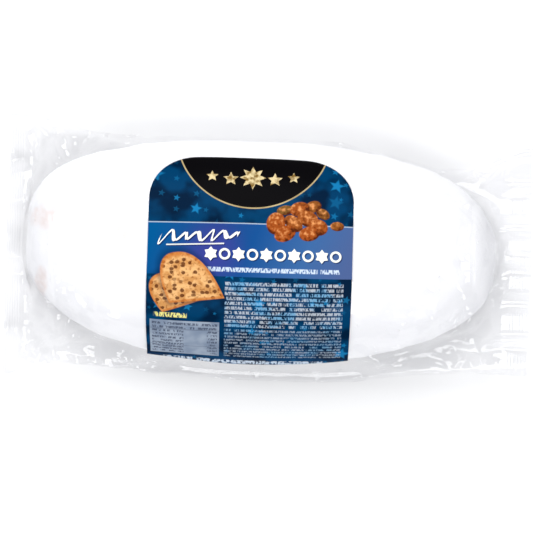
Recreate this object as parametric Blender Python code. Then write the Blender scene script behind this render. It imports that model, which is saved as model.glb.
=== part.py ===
"""A sugared stollen sealed in a clear film pack, with a label wrapped over its top.

Metres, +Z up. X runs along the loaf, -Y is the side that the label runs down, and the
pack lies on its flat underside at Z = 0, centred on the origin. "left" is the end at -X
and "right" the one at +X, "front" is the -Y side and "back" the +Y side.

The pack is one closed solid: a domed loaf filling a tube of film, whose two ends are
pressed flat into crimped seals. The tube keeps its girth from end to end, so where the
loaf rounds off the film flares out into wide, wavy fins with pleats running to them,
and along the front it stands off the loaf as a loose lip. The label is a thin shell
that follows the dome.
"""

import math

import bmesh
import bpy
from mathutils import Vector

MM = 0.001

# Loaf inside the film
LOAF_LENGTH = 224 * MM
LOAF_WIDTH = 104 * MM
LOAF_X = -3.5 * MM  # it has slid towards the left end of the pack
LOAF_HEIGHT = 51.5 * MM
WIDEST_HEIGHT = 9 * MM  # the loaf is widest here, a little above its base
FOOTPRINT_POWER = 2.4  # 2 is an ellipse, higher is squarer
DOME_POWER = 2.2
BASE_POWER = 3.0
FILM_STANDOFF = 1 * MM  # film over the sugared crust

# Film pack
PACK_LENGTH = 249 * MM
SEAL_WIDTH = {"left": 9 * MM, "right": 12 * MM}
SEAL_HEIGHT = 15 * MM  # of the crimped fins above the surface the pack lies on
SEAL_THICKNESS = 1.2 * MM
FIN_HALF_WIDTH = {
    "left": {"front": 62.5 * MM, "back": 60.5 * MM},
    "right": {"front": 58.5 * MM, "back": 53 * MM},
}
FLARE_SLOPE = {  # how fast the film's outline widens towards the fins
    "left": {"front": 0.14, "back": 0.24},
    "right": {"front": 0.08, "back": 0.42},
}
NECK_HALF_WIDTH = 38 * MM  # the dome doesn't narrow below this round the loaf's ends
LIP_WIDTH = {"front": 9.5 * MM, "back": 1.2 * MM}  # loose film beside the loaf
LIP_RISE, LIP_FALL = 0.07, 0.6  # shares of the dome and of the base that the lip takes up
LIP_DROOP = 4.5 * MM

# Folds
WAVE_LENGTH, WAVE_DEPTH = 34 * MM, 2.4 * MM  # of the fins
WAVE_PHASE = {"left": 0.62, "right": 0.15}
CORNER_DROOP = 7 * MM
PLEATS, PLEAT_DEPTH = 9, 1.5 * MM  # running from the loaf's shoulders to each fin
PLEAT_CENTRE = 62 * MM  # the point that they fan out from, along X
CRIMP_PITCH, CRIMP_DEPTH = 2.3 * MM, 0.25 * MM
LIP_PLEAT_LENGTH, LIP_PLEAT_DEPTH = 26 * MM, 1.6 * MM

# Label
LABEL_X = -8.5 * MM
LABEL_WIDTH = 95.5 * MM
LABEL_BACK_Y = 42.5 * MM  # where its back edge lies on the dome
LABEL_FRONT_Z = 19.5 * MM  # where its front edge lies on the side, just above the lip
LABEL_CORNER = 23 * MM  # radius of the two back corners
LABEL_THICKNESS = 0.35 * MM
LABEL_GAP = 0.55 * MM

# Fineness
RING = 48
BODY_STEP, NECK_STEP = 7.5 * MM, 2.9 * MM
LABEL_COLUMNS, LABEL_ROWS = 22, 24

NECK_SHARE = 0.72  # of the way from the middle to a seal, where the neck starts

HALF_PACK = PACK_LENGTH / 2
HALF_LOAF = LOAF_LENGTH / 2


def smooth_step(low, high, value):
    share = min(max((value - low) / (high - low), 0), 1)
    return share * share * (3 - 2 * share)


def smooth_max(first, second, blend):
    """The larger of two values, with the change from one to the other rounded off."""
    gap = first - second
    return 0.5 * (first + second + math.sqrt(gap * gap + blend * blend))


def triangle_wave(turns):
    """A sharp-edged wave from -1 to 1, one period for each turn: film folds in creases."""
    return 4 * abs(turns - math.floor(turns + 0.5)) - 1


def signed_power(value, power):
    return math.copysign(abs(value) ** power, value)


def end_at(x):
    return "left" if x < 0 else "right"


def seal_start(x):
    """How far from the middle the nearer seal starts."""
    return HALF_PACK - SEAL_WIDTH[end_at(x)]


def loaf_share(x):
    """The loaf's width at x as a share of its full width."""
    along = min(abs(x - LOAF_X) / HALF_LOAF, 1)
    return (1 - along**FOOTPRINT_POWER) ** (1 / FOOTPRINT_POWER)


def dome_half_width(x):
    loaf = LOAF_WIDTH / 2 * loaf_share(x) + FILM_STANDOFF
    return smooth_max(loaf, NECK_HALF_WIDTH, 8 * MM)


def dome_rise(x):
    """From the side line up to the crest."""
    loaf = (LOAF_HEIGHT - WIDEST_HEIGHT) * loaf_share(x) ** 1.1 + FILM_STANDOFF
    in_seal = smooth_step(seal_start(x) - 6 * MM, seal_start(x), abs(x))
    return loaf * (1 - in_seal) + SEAL_THICKNESS / 2 * in_seal


def side_height(x):
    """The line along each side where the film's upper and lower halves meet."""
    lifted = smooth_step(NECK_SHARE * seal_start(x), seal_start(x), abs(x))
    return WIDEST_HEIGHT + (SEAL_HEIGHT - WIDEST_HEIGHT) * lifted


def base_drop(x):
    """From the side line down to the underside."""
    lifted = smooth_step(0.86 * seal_start(x), seal_start(x), abs(x))
    return side_height(x) * (1 - lifted) + SEAL_THICKNESS / 2 * lifted


def lip_width(x, side):
    """How far the film reaches out past the dome, into the lip and the fins."""
    flare = FIN_HALF_WIDTH[end_at(x)][side] - FLARE_SLOPE[end_at(x)][side] * (
        HALF_PACK - abs(x)
    )
    outline = smooth_max(dome_half_width(x) + LIP_WIDTH[side], flare, 5 * MM)
    return outline - dome_half_width(x)


def folds(x, y, in_lip):
    """The height that waves, pleats, crimps and the lip's droop add to the film at x, y."""
    seal = seal_start(x)
    end = smooth_step(NECK_SHARE * seal, seal, abs(x))
    in_seal = smooth_step(seal - 2 * MM, seal, abs(x))
    share = abs(y) / FIN_HALF_WIDTH[end_at(x)]["front"]
    phase = WAVE_PHASE[end_at(x)]
    wave = WAVE_DEPTH * math.sin(2 * math.pi * (y / WAVE_LENGTH + phase))
    droop = CORNER_DROOP * share * share
    turn = math.atan2(y, abs(x) - PLEAT_CENTRE) / math.pi
    pleat = PLEAT_DEPTH * triangle_wave(PLEATS * turn + phase)
    crimp = CRIMP_DEPTH * triangle_wave((abs(x) - seal) / CRIMP_PITCH)
    lip = LIP_PLEAT_DEPTH * triangle_wave(x / LIP_PLEAT_LENGTH + 0.3) - LIP_DROOP
    return (
        end * (wave - droop)
        + end * (1 - in_seal) * pleat
        + in_seal * crimp
        + (1 - end) * in_lip * lip
    )


def film_point(x, angle):
    """A point on the film at x: angle 0 is the back side line, and a quarter turn is the crest."""
    across, up = math.cos(angle), math.sin(angle)
    side = "back" if across > 0 else "front"
    top = angle <= math.pi
    power = 2 / (DOME_POWER if top else BASE_POWER)
    height_share = signed_power(up, power)
    near_side = math.exp(-((height_share / (LIP_RISE if top else LIP_FALL)) ** 2))
    y = dome_half_width(x) * signed_power(across, power)
    y += math.copysign(lip_width(x, side), across) * near_side
    z = side_height(x) + height_share * (dome_rise(x) if top else 1.12 * base_drop(x))
    in_lip = near_side if side == "front" else 0
    return Vector((x, y, max(z + folds(x, y, in_lip), 0)))


def even_steps(start, stop, step):
    """Evenly spaced places after the start, as near the step apart as fits, to the stop."""
    count = round((stop - start) / step)
    return [start + (stop - start) * i / count for i in range(1, count + 1)]


def stations():
    """Where the film's rings stand along X: far apart on the loaf, close in the crimps."""
    halves = []
    for sign in (-1, 1):
        seal = seal_start(sign)
        neck = NECK_SHARE * seal
        half = even_steps(0, neck, BODY_STEP)
        half += even_steps(neck, seal, NECK_STEP)
        half += even_steps(seal, HALF_PACK, CRIMP_PITCH / 2)
        halves.append([sign * x for x in half])
    left, right = halves
    return left[::-1] + [0.0] + right


def material(name, color, roughness):
    made = bpy.data.materials.new(name)
    made.use_nodes = True
    shader = made.node_tree.nodes["Principled BSDF"]
    shader.inputs["Base Color"].default_value = (*color, 1)
    shader.inputs["Roughness"].default_value = roughness
    return made


def new_object(name, bm, look):
    mesh = bpy.data.meshes.new(name)
    bm.to_mesh(mesh)
    bm.free()
    mesh.materials.append(look)
    mesh.shade_smooth()
    mesh.set_sharp_from_angle(angle=math.radians(40))
    made = bpy.data.objects.new(name, mesh)
    bpy.context.scene.collection.objects.link(made)
    return made


def sheet_of_film(bm):
    """A flat web of film as a grid: columns along X, rows round the girth."""
    along = stations()
    bmesh.ops.create_grid(bm, x_segments=len(along) - 1, y_segments=RING, size=0.5)
    for vert in bm.verts:
        column = round((vert.co.x + 0.5) * (len(along) - 1))
        row = round((vert.co.y + 0.5) * RING)
        vert.co = film_point(along[column], 2 * math.pi * row / RING)


def close_fin(bm, x):
    """Joins the upper and lower film along the outer edge of one crimped seal."""
    edge = sorted(
        (v for v in bm.verts if abs(v.co.x - x) < 1e-6), key=lambda v: v.index
    )
    for i in range(1, RING // 2):
        upper, lower = edge[i], edge[RING - i]
        next_upper, next_lower = edge[i + 1], edge[RING - i - 1]
        corners = [upper, next_upper, next_lower, lower]
        if next_upper is next_lower:
            corners = [upper, next_upper, lower]
        bm.faces.new(corners)
    bm.faces.new([edge[0], edge[1], edge[RING - 1]])


def make_pack():
    bm = bmesh.new()
    sheet_of_film(bm)
    bmesh.ops.remove_doubles(bm, verts=bm.verts, dist=0.02 * MM)
    bm.verts.index_update()
    for x in (-HALF_PACK, HALF_PACK):
        close_fin(bm, x)
    bmesh.ops.recalc_face_normals(bm, faces=bm.faces)
    if bm.calc_volume(signed=True) < 0:
        bmesh.ops.reverse_faces(bm, faces=bm.faces)
    look = material("clear_film", (0.93, 0.93, 0.95), 0.25)
    return new_object("film_pack", bm, look)


def label_outline(across):
    """How far short of the straight back edge the label stops at this place across it."""
    into_corner = max(abs(across) - (LABEL_WIDTH / 2 - LABEL_CORNER), 0)
    return LABEL_CORNER - math.sqrt(max(LABEL_CORNER**2 - into_corner**2, 0))


def dome_arc(x, fineness=360):
    """Points over the dome at x from the back side line to the front, with their distance along it."""
    points = [film_point(x, math.pi * i / fineness) for i in range(fineness + 1)]
    run = [0.0]
    for before, after in zip(points, points[1:]):
        run.append(run[-1] + (after - before).length)
    return points, run


def on_arc(points, run, distance):
    """The point at a distance along the arc, and the way that the film faces there."""
    i = max(k for k, r in enumerate(run[:-1]) if r <= distance)
    share = (distance - run[i]) / (run[i + 1] - run[i])
    along = (points[i + 1] - points[i]).normalized()
    return points[i].lerp(points[i + 1], share), Vector((0, along.z, -along.y))


def label_reach(points, run):
    """Where the label starts and ends along the middle arc."""
    start = next(r for p, r in zip(points, run) if p.y < LABEL_BACK_Y)
    end = next(r for p, r in zip(points, run) if p.y < 0 and p.z < LABEL_FRONT_Z)
    return start, end


def make_label():
    middle_points, middle_run = dome_arc(LABEL_X)
    start, end = label_reach(middle_points, middle_run)
    crest = middle_run[len(middle_run) // 2]
    bm = bmesh.new()
    bmesh.ops.create_grid(bm, x_segments=LABEL_COLUMNS, y_segments=LABEL_ROWS, size=0.5)
    arcs = {}
    for vert in bm.verts:
        # Columns crowd towards both sides, where the rounded corners need them.
        across = round(LABEL_WIDTH / 2 * math.sin(math.pi * vert.co.x), 7)
        if across not in arcs:
            points, run = dome_arc(LABEL_X + across)
            arcs[across] = points, run, run[len(run) // 2] - crest
        points, run, shift = arcs[across]
        back = start + label_outline(across)
        distance = back + (end - back) * (vert.co.y + 0.5) + shift
        place, facing = on_arc(points, run, distance)
        vert.co = place + facing * LABEL_GAP
    # The grid runs from the back to the front, which leaves its faces looking inwards.
    bmesh.ops.reverse_faces(bm, faces=bm.faces)
    look = material("label_print", (0.05, 0.22, 0.45), 0.3)
    label = new_object("label", bm, look)
    shell = label.modifiers.new("paper", "SOLIDIFY")
    shell.thickness = LABEL_THICKNESS
    shell.offset = 1
    return label


def centre(objects):
    """Moves the whole pack so that its box is centred over the origin and stands on Z = 0."""
    corners = [v.co for thing in objects for v in thing.data.vertices]
    low = Vector([min(c[i] for c in corners) for i in range(3)])
    high = Vector([max(c[i] for c in corners) for i in range(3)])
    shift = Vector((-(low.x + high.x) / 2, -(low.y + high.y) / 2, -low.z))
    for thing in objects:
        for vert in thing.data.vertices:
            vert.co += shift


def main():
    for old in list(bpy.data.objects):
        bpy.data.objects.remove(old)
    centre([make_pack(), make_label()])


main()
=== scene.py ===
# %% [markdown]
# # A sugared stollen in its clear pack
# The frame holds two plain solids: the sealed pack and the label that wraps over it. Here
# they get their looks: a loaf under icing sugar, a thin film that settles round it, and a
# printed label. The pieces are made in that order because each one lies on the last.

import math

import bmesh
import bpy
import numpy as np
from mathutils import Matrix, Vector, noise
from mathutils.bvhtree import BVHTree


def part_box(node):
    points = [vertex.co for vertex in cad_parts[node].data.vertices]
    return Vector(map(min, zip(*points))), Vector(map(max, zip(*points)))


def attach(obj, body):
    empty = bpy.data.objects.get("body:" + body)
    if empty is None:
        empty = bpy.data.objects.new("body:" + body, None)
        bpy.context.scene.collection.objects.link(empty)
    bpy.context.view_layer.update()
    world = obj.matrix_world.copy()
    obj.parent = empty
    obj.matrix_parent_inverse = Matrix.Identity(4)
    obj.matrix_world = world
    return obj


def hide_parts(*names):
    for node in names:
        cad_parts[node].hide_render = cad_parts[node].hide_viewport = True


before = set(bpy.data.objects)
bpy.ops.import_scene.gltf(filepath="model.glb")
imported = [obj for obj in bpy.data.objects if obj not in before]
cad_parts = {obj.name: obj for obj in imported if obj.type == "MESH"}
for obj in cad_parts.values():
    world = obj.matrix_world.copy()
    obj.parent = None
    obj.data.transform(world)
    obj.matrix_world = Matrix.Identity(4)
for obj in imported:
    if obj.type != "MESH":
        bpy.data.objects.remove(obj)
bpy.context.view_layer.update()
MM = 0.001
pack_low, pack_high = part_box("film_pack")
label_low, label_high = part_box("label")
print("pack", [round(side / MM, 1) for side in pack_high - pack_low])

# %% [markdown]
# The loaf is a low dome on an oval footprint, widest just above its base. The film's
# height and the label's place come from the frame, and the loaf's own few sizes are named
# here. It lies a little left of the pack's middle, as it slid when the pack was sealed.

# %% Sizes
LOAF_LENGTH = 224 * MM
LOAF_WIDTH = 104 * MM
WIDEST_HEIGHT = 9 * MM
LOAF_TOP = pack_high.z - 1.2 * MM
LOAF_BASE = 0.7 * MM
LOAF_CENTRE = Vector((-3.5 * MM, 0, WIDEST_HEIGHT))
LABEL_WIDTH = label_high.x - label_low.x
LABEL_X = (label_low.x + label_high.x) / 2

# %% [markdown]
# Two short helpers serve every piece. One turns a bmesh into a smooth-shaded object in the
# scene, and the other takes a mesh's points as one array, which makes moving thousands of
# them at once quick.

# %% Helpers


def smooth_step(low, high, value):
    share = np.clip((value - low) / (high - low), 0, 1)
    return share * share * (3 - 2 * share)


def object_from(name, bm):
    mesh = bpy.data.meshes.new(name)
    bm.to_mesh(mesh)
    bm.free()
    mesh.shade_smooth()
    made = bpy.data.objects.new(name, mesh)
    bpy.context.scene.collection.objects.link(made)
    return made


def points_of(mesh):
    places = np.zeros(len(mesh.vertices) * 3, np.float32)
    mesh.vertices.foreach_get("co", places)
    return places.reshape(-1, 3).astype(float)


def set_points(mesh, places):
    mesh.vertices.foreach_set("co", np.asarray(places, np.float32).ravel())
    mesh.update()


# %% [markdown]
# ## The loaf
# A real stollen is an oval dome with slumped, lumpy sides under a thick coat of icing
# sugar. A sphere pushed out to a superellipse gives the dome without a pole on top when it
# starts as an icosphere, and layers of noise give the lumps, from broad swells down to the
# grain of the sugar.

# %% Shape the loaf
FOOTPRINT_POWER = 2.4
DOME_POWER = 2.2
BLUNT_POWER = 3.1  # the footprint's back left corner is blunter than the others
BASE_POWER = 3.0
SWELL_SIZE, SWELL_HEIGHT = 42 * MM, 1.5 * MM
LUMP_SIZE, LUMP_HEIGHT = 13 * MM, 0.8 * MM
CLUMP_SIZE, CLUMP_HEIGHT = 4.2 * MM, 0.3 * MM


def dome_point(way):
    """The loaf's smooth outline in one direction from its centre."""
    top = way.z > 0
    power = DOME_POWER if top else BASE_POWER
    rise = LOAF_TOP - WIDEST_HEIGHT if top else WIDEST_HEIGHT - LOAF_BASE
    corner = max(-way.x * way.y, 0) * 2 if way.x < 0 else 0
    oval = FOOTPRINT_POWER + (BLUNT_POWER - FOOTPRINT_POWER) * min(corner * 1.6, 1)
    flat = (abs(way.x) ** oval + abs(way.y) ** oval) ** (power / oval)
    reach = (flat + abs(way.z) ** power) ** (-1 / power)
    return LOAF_CENTRE + Vector(
        (way.x * LOAF_LENGTH / 2, way.y * LOAF_WIDTH / 2, way.z * rise)
    ) * reach


def pressed(place):
    """How flat the label presses the sugar at a point: 1 under it, 0 elsewhere."""
    beside = abs(place.x - LABEL_X) - LABEL_WIDTH / 2
    return float(smooth_step(6 * MM, 0, beside) * smooth_step(6 * MM, 14 * MM, place.z))


def lumpy(place, facing):
    """The same point pushed along its normal by three sizes of lump."""
    swell = noise.noise(place / SWELL_SIZE) * SWELL_HEIGHT
    lump = noise.noise(place / LUMP_SIZE + Vector((7, 3, 1))) * LUMP_HEIGHT
    clump = abs(noise.noise(place / CLUMP_SIZE + Vector((2, 9, 4)))) * CLUMP_HEIGHT
    loose = 1 - 0.85 * pressed(place)
    moved = place + facing * (swell + (lump + clump) * loose - 0.6 * MM)
    moved.z = max(moved.z, LOAF_BASE)
    return moved


def dome(fineness):
    bm = bmesh.new()
    bmesh.ops.create_icosphere(bm, subdivisions=fineness, radius=1)
    for vert in bm.verts:
        vert.co = dome_point(vert.co.normalized())
    bm.normal_update()
    return bm


def make_loaf():
    bm = dome(7)
    for vert, place in [(v, lumpy(v.co, v.normal)) for v in bm.verts]:
        vert.co = place
    return object_from("loaf", bm)


loaf = make_loaf()
print("loaf", len(loaf.data.polygons), "faces")

# %% [markdown]
# ## The film
# The pack is a tube of thin film with its two ends pressed flat between crimping jaws. Film
# doesn't stretch, so its shape comes from its cut: the tube keeps one girth and one
# length, and where the loaf needs less the rest buckles into creases. Drawing those by hand
# looks drawn, so the film is cut to its real flat size and left to settle on the loaf as
# cloth. First come the fins' edges: waves whose length along the curve is the flat width.

# %% The crimped fins
FLAT_LENGTH = 274 * MM
SEAL_DEPTH = 12 * MM
SEAL_GAP = 0.15 * MM
BACK_OUTLINE = (  # X, and how far back the film reaches there, in mm
    (-120, 62.3),
    (-99, 58.3),
    (-87, 55),
    (-72, 53.2),
    (0, 54),
    (34, 53.5),
    (63, 46.4),
    (79, 42.2),
    (94, 43.3),
    (105, 47.5),
    (120, 54),
)
FRONT_OUTLINE = (  # X, and how far forward it reaches
    (-120, 62.5),
    (-112, 57.5),
    (-95, 56),
    (-74, 57.8),
    (-57, 59.5),
    (-17, 61.4),
    (15, 61.7),
    (44, 60.3),
    (69, 56.4),
    (94, 54.2),
    (120, 55.2),
)
FINS = {
    "left": {"sign": -1, "waves": 3.3, "phase": 0.15, "height": 15, "tilt": -40, "droop": 7},
    "right": {"sign": 1, "waves": 4.6, "phase": 0.6, "height": 13, "tilt": 6, "droop": 6},
}


def edge_at(x, outline):
    """How far out the film's long edge lies at x."""
    return float(np.interp(x / MM, *zip(*outline))) * MM


def fin_wave(fin, depth, samples=400):
    """Points across a fin, from its back corner to its front one, with waves of one depth."""
    across = np.linspace(0, 1, samples)
    back, front = (edge_at(fin["sign"], outline) for outline in (BACK_OUTLINE, FRONT_OUTLINE))
    y = (back - (back + front) * across) / MM
    turns = 2 * math.pi * (fin["waves"] * across + fin["phase"])
    wave = np.sin(turns) + 0.3 * np.sin(2.3 * turns + 1)
    z = fin["height"] + depth * wave - fin["droop"] * (2 * across - 1) ** 2
    return y * MM, z * MM


def curve_length(y, z):
    return np.r_[0, np.cumsum(np.hypot(np.diff(y), np.diff(z)))]


def fin_line(fin, count):
    """Evenly spaced points across a fin whose waves are deep enough to take up the flat width."""
    low, high = 0.0, 20.0
    for _ in range(30):
        depth = (low + high) / 2
        longer = curve_length(*fin_wave(fin, depth))[-1] > FLAT_WIDTH
        low, high = (low, depth) if longer else (depth, high)
    y, z = fin_wave(fin, depth)
    run = curve_length(y, z)
    even = np.linspace(0, run[-1], count + 1)
    return np.interp(even, run, y), np.interp(even, run, z), depth


# %% [markdown]
# The film starts as a flat grid rolled into a tube round the loaf. Each point keeps its
# column and row on the flat film in two integer layers, so that the label can find its
# place on the film later. The tube is blown up a little at the start, clear of the loaf,
# and the cloth solver then draws it in to its true size.

# %% Roll the sheet into a tube
COLUMNS = 108  # along the pack
ROWS = 112  # round the girth
HALF_ROWS = ROWS // 2
START_GAP = 1.2 * MM
LIP_HEIGHT = 6 * MM
SLACK_AT_START = 0.25  # how much of its loose height the film keeps before it settles
FLOOR_GAP = 0.35 * MM


def tube_section(x, rise):
    """The tube's outline at x as a closed run of points, starting and ending at its crest."""
    along = min(abs(x - LOAF_CENTRE.x) / (LOAF_LENGTH / 2), 1)
    share = (1 - along**FOOTPRINT_POWER) ** (1 / FOOTPRINT_POWER)
    front, back = edge_at(x, FRONT_OUTLINE), edge_at(x, BACK_OUTLINE)
    angle = np.linspace(0, math.pi, 400)
    way = np.sign(np.cos(angle))
    edge = np.where(way > 0, back - LOAF_CENTRE.y, front + LOAF_CENTRE.y)
    lip = (edge - LOAF_WIDTH / 2 - START_GAP) * smooth_step(0.75, 1.0, share)
    up = np.sin(angle) ** (2 / DOME_POWER)
    out = way * np.abs(np.cos(angle)) ** (2 / DOME_POWER)
    y = LOAF_CENTRE.y + (edge - lip) * out + way * lip * np.exp(-((up / 0.12) ** 2))
    z = LIP_HEIGHT + rise * up
    low_y = np.linspace(y[-1], y[0], 200)
    bow = 1 - np.abs((low_y - LOAF_CENTRE.y) / (low_y[-1] - LOAF_CENTRE.y)) ** 4
    low_z = LIP_HEIGHT + (FLOOR_GAP - LIP_HEIGHT) * np.clip(bow, 0, 1) ** 0.5
    loop = np.array([np.r_[y, low_y[1:]], np.r_[z, low_z[1:]]])
    crest = len(angle) // 2
    return np.c_[loop[:, crest:], loop[:, 1 : crest + 1]]


def start_section(x):
    """The outline at x whose girth is the film's, as one point for each row of the film."""
    low, high = LOAF_TOP - LIP_HEIGHT + START_GAP, 140 * MM
    for _ in range(20):
        rise = (low + high) / 2
        too_long = curve_length(*tube_section(x, rise))[-1] > GIRTH
        low, high = (low, rise) if too_long else (rise, high)
    along = min(abs(x - LOAF_CENTRE.x) / (LOAF_LENGTH / 2), 1)
    close = (LOAF_TOP - LIP_HEIGHT) * (1 - along**2.2) ** (1 / 2.2) + 3 * START_GAP
    y, z = tube_section(x, close + SLACK_AT_START * max(low - close, 0))
    run = curve_length(y, z)
    even = np.linspace(0, run[-1], ROWS, endpoint=False)
    return np.roll([np.interp(even, run, y), np.interp(even, run, z)], HALF_ROWS // 2, 1)


middle_rise = LOAF_TOP - LIP_HEIGHT + START_GAP
GIRTH = curve_length(*tube_section(LOAF_CENTRE.x, middle_rise))[-1]
FLAT_WIDTH = GIRTH / 2
print("the film lies", round(FLAT_WIDTH / MM, 1), "mm wide when flat")


def fin_section(fin, x, count):
    """The flat, wavy section of the tube inside a seal: its two rows lie one on the other."""
    y, z, _ = fin_line(fin, count)
    out = abs(x) - (pack_high.x - SEAL_DEPTH * math.cos(math.radians(fin["tilt"])))
    z = z + out * math.tan(math.radians(fin["tilt"]))
    z = np.maximum(z, 4 * FLOOR_GAP)
    return np.array([np.r_[y[:-1], y[:0:-1]], np.r_[z[:-1] + SEAL_GAP, z[:0:-1] - SEAL_GAP]])


def start_places():
    """Where every point of the flat sheet lies before the film settles, and which are sealed."""
    places = np.zeros((COLUMNS + 1, ROWS, 3))
    sealed = np.zeros((COLUMNS + 1, ROWS), bool)
    flat_x = np.linspace(-FLAT_LENGTH / 2, FLAT_LENGTH / 2, COLUMNS + 1)
    for column, u in enumerate(flat_x):
        fin = FINS["left" if u < 0 else "right"]
        seal_from = FLAT_LENGTH / 2 - SEAL_DEPTH
        seal_reach = SEAL_DEPTH * math.cos(math.radians(fin["tilt"]))
        inner = pack_high.x - seal_reach
        if abs(u) >= seal_from - 1e-6:
            x = fin["sign"] * (inner + (abs(u) - seal_from) * seal_reach / SEAL_DEPTH)
            section = fin_section(fin, x, HALF_ROWS)
            sealed[column] = True
        else:
            x = u * inner / seal_from
            mix = smooth_step(0.86, 1.0, abs(u) / seal_from)
            at_fin = fin_section(fin, fin["sign"] * inner, HALF_ROWS)
            section = start_section(x) * (1 - mix) + at_fin * mix
        places[column, :, 0] = x
        places[column, :, 1:] = section.T
    return places, sealed


def rolled_film(name, places):
    """A tube through all the film's points, with the column and row of each kept on it."""
    columns, rows = places.shape[0] - 1, places.shape[1]
    bm = bmesh.new()
    bmesh.ops.create_grid(bm, x_segments=columns, y_segments=rows, size=0.5)
    column_of = bm.verts.layers.int.new("column")
    row_of = bm.verts.layers.int.new("row")
    for vert in bm.verts:
        column = round((vert.co.x + 0.5) * columns)
        row = round((vert.co.y + 0.5) * rows) % rows
        vert[column_of], vert[row_of] = column, row
        vert.co = places[column, row]
    seam = [v for v in bm.verts if v[row_of] == 0]
    bmesh.ops.remove_doubles(bm, verts=seam, dist=0.001 * MM)
    bmesh.ops.recalc_face_normals(bm, faces=bm.faces)
    return object_from(name, bm)


def grid_of(mesh, shape):
    """Which vertex of the mesh stands at each column and row of the flat film."""
    column = np.array([d.value for d in mesh.attributes["column"].data])
    row = np.array([d.value for d in mesh.attributes["row"].data])
    index = np.zeros(shape, int)
    index[column, row] = np.arange(len(column))
    return index


film_places, film_sealed = start_places()
cloth_film = rolled_film("film_in_cloth", film_places)
film_grid = grid_of(cloth_film.data, film_sealed.shape)
print("film", len(cloth_film.data.vertices), "points to settle")

# %% [markdown]
# Blender's cloth is tuned for things about a metre long, so the film, the loaf and the
# table are enlarged ten times for the simulation. The rest shape is an even tube of the
# film's true girth and length: wherever the pack is shorter round or along than that tube,
# the film has to buckle. The sealed fins are pinned, and the film under the label bends
# hardly at all, because the label stiffens it.

# %% Settle the film round the loaf
ENLARGED = 10
SETTLE_FRAMES = 30
PATCH_SIZE, PATCH_DEPTH = 14 * MM, 0.9 * MM


def solid_for_cloth(name, mesh, thickness, friction):
    mesh.transform(Matrix.Scale(ENLARGED, 4))
    made = bpy.data.objects.new(name, mesh)
    bpy.context.scene.collection.objects.link(made)
    made.modifiers.new("collision", "COLLISION")
    made.collision.thickness_outer = thickness * ENLARGED
    made.collision.cloth_friction = friction
    return made


def mesh_from(bm):
    mesh = bpy.data.meshes.new("for_cloth")
    bm.to_mesh(mesh)
    bm.free()
    return mesh


def plain_loaf():
    return mesh_from(dome(5))


def plain_table(size=0.6):
    bm = bmesh.new()
    bmesh.ops.create_grid(bm, x_segments=4, y_segments=4, size=size)
    return mesh_from(bm)


def tube_at_rest():
    """The film's points on an even tube of its true girth and length."""
    radius = FLAT_WIDTH / math.pi
    turn = 2 * math.pi * np.arange(ROWS) / ROWS
    along = np.linspace(-0.5, 0.5, COLUMNS + 1) * FLAT_LENGTH
    rest = np.zeros((COLUMNS + 1, ROWS, 3))
    rest[:, :, 0] = along[:, None]
    rest[:, :, 1] = radius * np.cos(turn)
    rest[:, :, 2] = radius * np.sin(turn)
    return rest


def under_label(places):
    """How far each point of the film is under the label: 1 well inside, 0 outside."""
    x, z = places[..., 0], places[..., 2]
    inside = smooth_step(-8 * MM, -1 * MM, LABEL_WIDTH / 2 - np.abs(x - LABEL_X))
    return inside * smooth_step(6 * MM, 10 * MM, z)


def cloth_on(film, places, sealed, rest):
    index = film_grid.ravel()
    film.shape_key_add(name="Basis")
    rest_key = film.shape_key_add(name="rest")
    rest_places = np.zeros((len(index), 3))
    rest_places[index] = rest.reshape(-1, 3) * ENLARGED
    rest_key.data.foreach_set("co", rest_places.astype(np.float32).ravel())
    pins = film.vertex_groups.new(name="sealed")
    pins.add(index[sealed.ravel()].tolist(), 1.0, "REPLACE")
    stiff = film.vertex_groups.new(name="stiffened")
    for point, share in zip(index.tolist(), under_label(places).ravel().tolist()):
        stiff.add([point], share, "REPLACE")
    cloth = film.modifiers.new("film", "CLOTH")
    settings = cloth.settings
    settings.quality = 5
    settings.mass = 0.2
    settings.tension_stiffness = 40
    settings.compression_stiffness = 40
    settings.shear_stiffness = 20
    settings.bending_stiffness = 0.35
    settings.bending_stiffness_max = 4
    settings.vertex_group_bending = "stiffened"
    settings.tension_damping = 5
    settings.compression_damping = 5
    settings.shear_damping = 5
    settings.bending_damping = 0.5
    settings.air_damping = 2
    settings.vertex_group_mass = "sealed"
    settings.rest_shape_key = rest_key
    cloth.collision_settings.distance_min = 0.35 * MM * ENLARGED
    cloth.collision_settings.collision_quality = 2
    cloth.collision_settings.use_self_collision = False
    cloth.point_cache.frame_end = SETTLE_FRAMES + 1
    return cloth


def uneven(places, sealed):
    """The same points moved a little up or down, in patches, so that no fold comes out regular."""
    moved = places.copy()
    for at in zip(*np.nonzero(~sealed)):
        moved[at][2] += noise.noise(Vector(places[at]) / PATCH_SIZE) * PATCH_DEPTH
    return moved


def settled(film, places, sealed):
    """Runs the cloth and returns where every point of the flat film ends up."""
    begin = np.zeros((places.shape[0] * places.shape[1], 3))
    begin[film_grid.ravel()] = uneven(places, sealed).reshape(-1, 3) * ENLARGED
    set_points(film.data, begin)
    cloth_on(film, places, sealed, tube_at_rest())
    solids = [
        solid_for_cloth("loaf_in_cloth", plain_loaf(), 0.5 * MM, 2),
        solid_for_cloth("table_in_cloth", plain_table(), 0.2 * MM, 8),
    ]
    scene = bpy.context.scene
    scene.frame_end = SETTLE_FRAMES + 1
    for step in range(1, SETTLE_FRAMES + 1):
        scene.frame_set(step)
    evaluated = film.evaluated_get(bpy.context.evaluated_depsgraph_get())
    result = points_of(evaluated.data)[film_grid] / ENLARGED
    for solid in solids:
        bpy.data.objects.remove(solid)
    film.modifiers.clear()
    film.shape_key_clear()
    scene.frame_set(1)
    return result


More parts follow.
